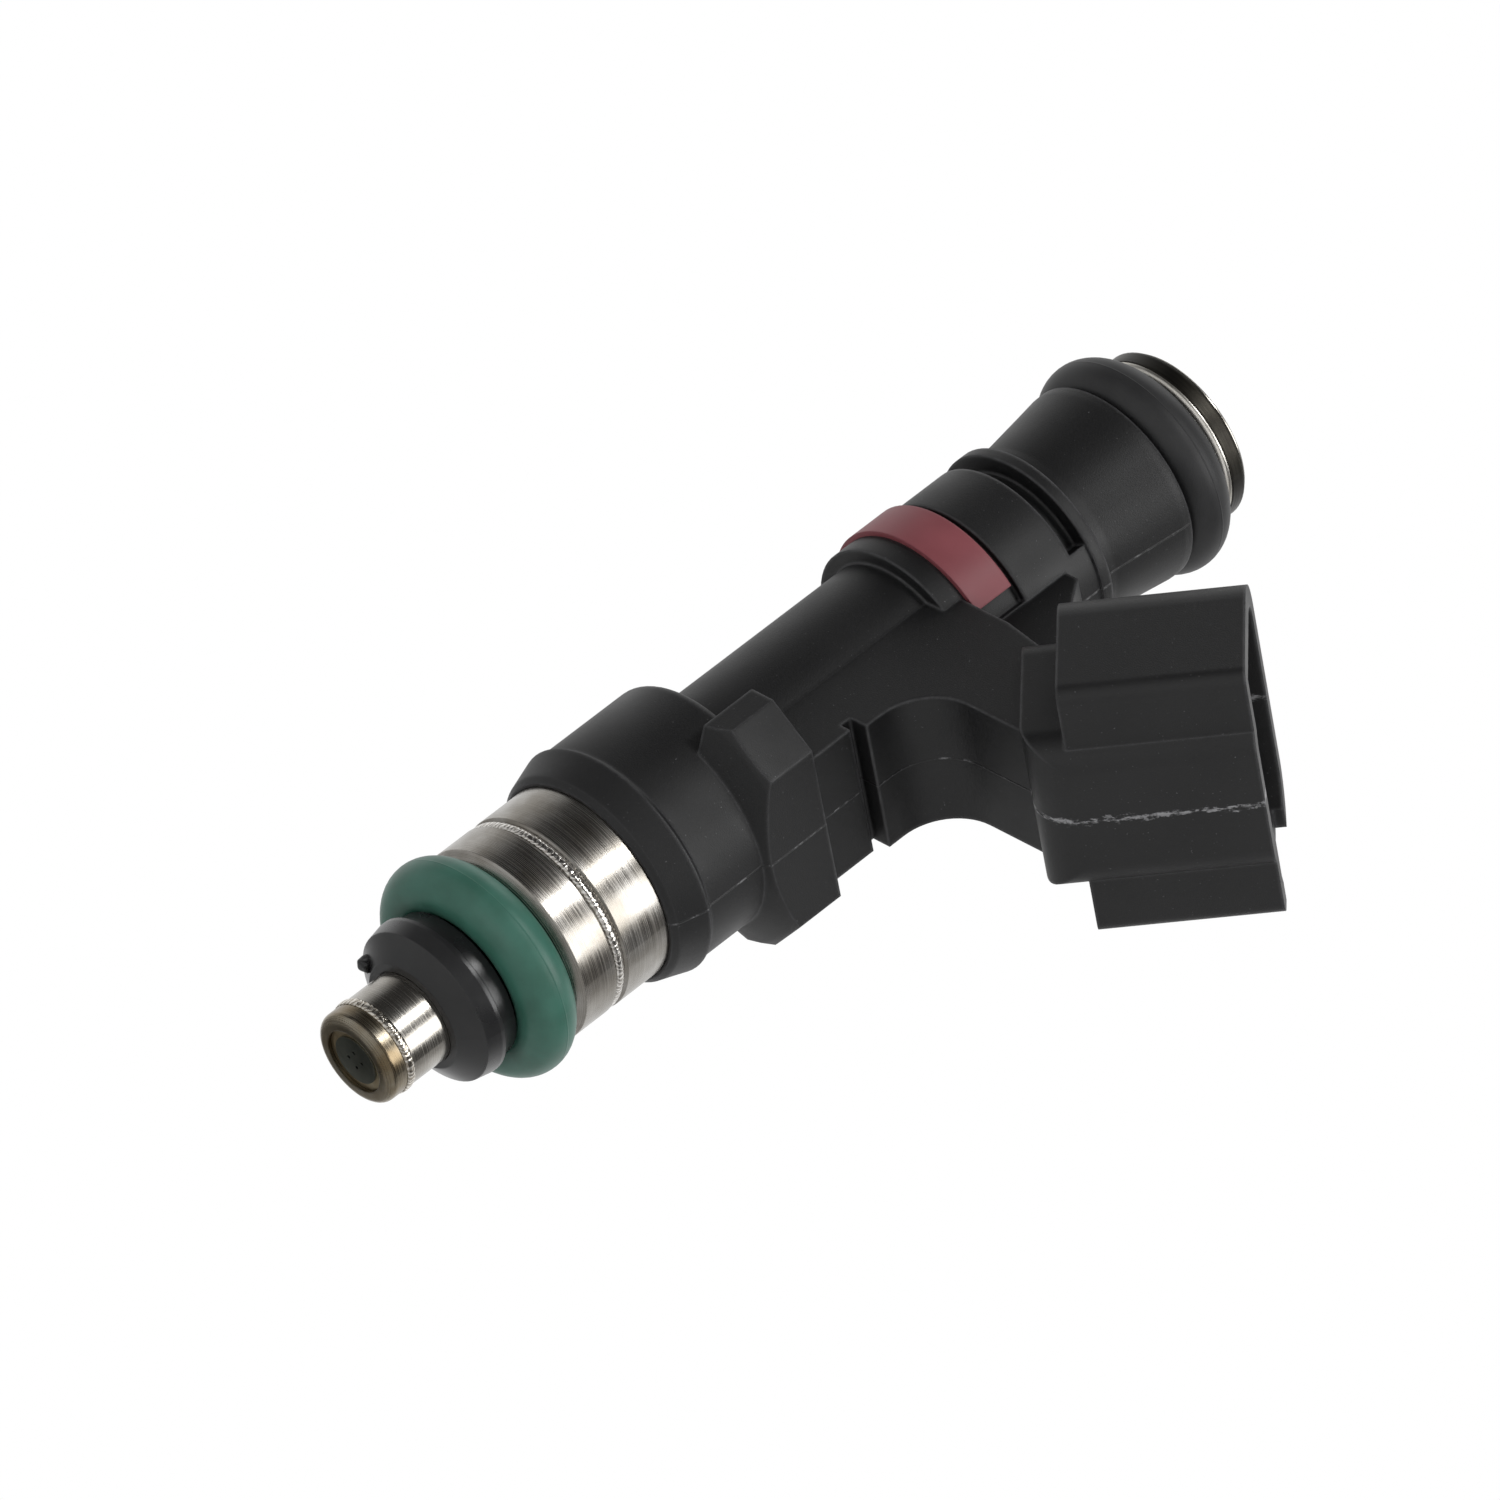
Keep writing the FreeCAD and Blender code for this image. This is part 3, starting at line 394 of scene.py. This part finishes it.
# weld beads round the steel can and the tip
canBead = {"radius": 6.37 * mm, "level": 5.2 * mm, "height": 0.62 * mm, "rise": 0.15 * mm, "sides": 14,
           "steps": 200, "uneven": 0.012 * mm, "seed": 4, "pulses": 118.0, "colour": "e9e6e1",
           "shade": "a39e97", "roughness": 0.2}
canWeld = spunBead("canWeldBead", canBead, weldedSteel("stainlessWeldedCan", canBead))
tipBead = {"radius": 3.05 * mm, "level": -8.45 * mm, "height": 0.62 * mm, "rise": 0.11 * mm, "sides": 14,
           "steps": 120, "uneven": 0.012 * mm, "seed": 9, "pulses": 54.0, "colour": "e2ddd4",
           "shade": "9a9184", "roughness": 0.22}
tipWeld = spunBead("tipWeldBead", tipBead, weldedSteel("stainlessWeldedTip", tipBead))
print("weld beads made")

# rounded root of the inlet flare, bright above the black seal
flareRoot = {"radius": 5.36 * mm, "level": 57.66 * mm, "height": 0.9 * mm, "rise": 0.42 * mm, "sides": 24,
             "steps": 120, "uneven": 0.0, "seed": 1}
steelFlare = {"colour": "e4e1db", "shade": "d2cec6", "lineColour": "9a958c", "lineTone": 0.2,
              "roughness": 0.3, "line": 0.2 * mm, "depth": 0.2, "grain": 0.2, "edgeRadius": 0.02 * mm}
flare = spunBead("flareRoot", flareRoot, turnedSteel("stainlessFlared", steelFlare))
print("flare root made")

# broken moulding gate on the support ring: a small torn stub
gateStub = {"spot": (-3.8 * mm, -1.9 * mm, -4.95 * mm), "size": 0.9 * mm, "length": 0.8 * mm,
            "thin": 0.8, "cuts": 2, "torn": 0.1 * mm, "seed": 3}
bpy.ops.object.select_all(action="DESELECT")
bpy.ops.mesh.primitive_cube_add(size=gateStub["size"], location=gateStub["spot"])
stub = bpy.context.object
stub.name = "gateStub"
bpy.ops.object.transform_apply(location=True)
bpy.ops.object.mode_set(mode="EDIT")
bpy.ops.mesh.select_all(action="SELECT")
bpy.ops.transform.resize(value=(1.0, gateStub["thin"], gateStub["length"] / gateStub["size"]))
bpy.ops.mesh.subdivide(number_cuts=gateStub["cuts"])
bpy.ops.transform.vertex_random(offset=gateStub["torn"], seed=gateStub["seed"])
bpy.ops.object.mode_set(mode="OBJECT")
rounding = stub.modifiers.new("rounding", "SUBSURF")
rounding.levels = rounding.render_levels = 1
bpy.ops.object.modifier_apply(modifier="rounding")
bpy.ops.object.shade_smooth()
stub.data.materials.append(ringMaterial)
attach(stub, "body")
print("gate stub made")

# pale floor under the tip, clear from below, so that a view from below sees the plain backdrop
floorLook = {"size": 1.2, "drop": 0.6 * mm, "colour": "f4f4f4"}
bpy.ops.mesh.primitive_plane_add(size=floorLook["size"],
                                 location=(0, 0, cadBox[0][2] - floorLook["drop"]))
floor = bpy.context.object
floor.name = "floor"
bpy.ops.object.transform_apply(location=True)
material, tree = newMaterial("paperSweep")
facing = addNode(tree, "NewGeometry")
path = addNode(tree, "LightPath")
passing = addNode(tree, "Math", {0: facing.outputs["Backfacing"], 1: path.outputs["Is Shadow Ray"]},
                  operation="MAXIMUM")
paper = addNode(tree, "BsdfDiffuse", {"Color": hexColour(floorLook["colour"])})
clear = addNode(tree, "BsdfTransparent")
both = addNode(tree, "MixShader", {0: passing.outputs[0], 1: paper.outputs[0], 2: clear.outputs[0]})
addNode(tree, "OutputMaterial", {"Surface": both.outputs[0]})
floor.data.materials.append(material)

# soft studio light: the backdrop is white to the eye, and in metal and glass on the side where it stands
studio = {"ambient": 0.35, "room": 0.05, "sweepStart": 0.1, "sweepEnd": 0.62}
world = bpy.data.worlds.new("studio")
bpy.context.scene.world = world
world.use_nodes = True
tree = world.node_tree
tree.nodes.clear()
path = addNode(tree, "LightPath")
heading = addNode(tree, "TexCoord").outputs["Generated"]
behind = addNode(tree, "VectorMath", {0: heading, 1: tuple(-back)}, operation="DOT_PRODUCT")
mirrored = addNode(tree, "MapRange", {"Value": behind.outputs["Value"], "From Min": studio["sweepStart"],
                                      "From Max": studio["sweepEnd"], "To Min": studio["room"],
                                      "To Max": 1.0})
unseen = addNode(tree, "MapRange", {"Value": path.outputs["Is Glossy Ray"], "To Min": studio["ambient"],
                                    "To Max": mirrored.outputs[0]})
seen = addNode(tree, "Math", {0: path.outputs["Is Camera Ray"], 1: path.outputs["Is Transmission Ray"]},
               operation="MAXIMUM")
level = addNode(tree, "MapRange", {"Value": seen.outputs[0], "To Min": unseen.outputs[0], "To Max": 1.0})
backdrop = addNode(tree, "Background", {"Color": (1, 1, 1, 1), "Strength": level.outputs[0]})
addNode(tree, "OutputWorld", {"Surface": backdrop.outputs[0]})


def areaLamp(name, spot, aim, size, power):
    lampData = bpy.data.lights.new(name, "AREA")
    lampData.shape, lampData.size, lampData.energy = "DISK", size, power
    lamp = bpy.data.objects.new(name, lampData)
    bpy.context.collection.objects.link(lamp)
    lamp.location = spot
    lamp.rotation_euler = (Vector(aim) - Vector(spot)).to_track_quat("-Z", "Y").to_euler()


# each lamp: its spot, its size and its power
lampAim = (0, 0, 23 * mm)
lamps = {"frontLamp": ((0.38, -0.42, 0.33), 0.16, 1.0), "fillLamp": ((0.52, -0.02, 0.34), 0.34, 1.6),
         "tipLamp": ((0.12, -0.30, -0.42), 0.30, 0.25), "topLamp": ((-0.15, -0.20, 0.55), 0.25, 0.2)}
for name, (spot, size, power) in lamps.items():
    areaLamp(name, spot, lampAim, size, power)
bpy.context.scene.view_settings.view_transform = "Standard"
print("stage and light set")
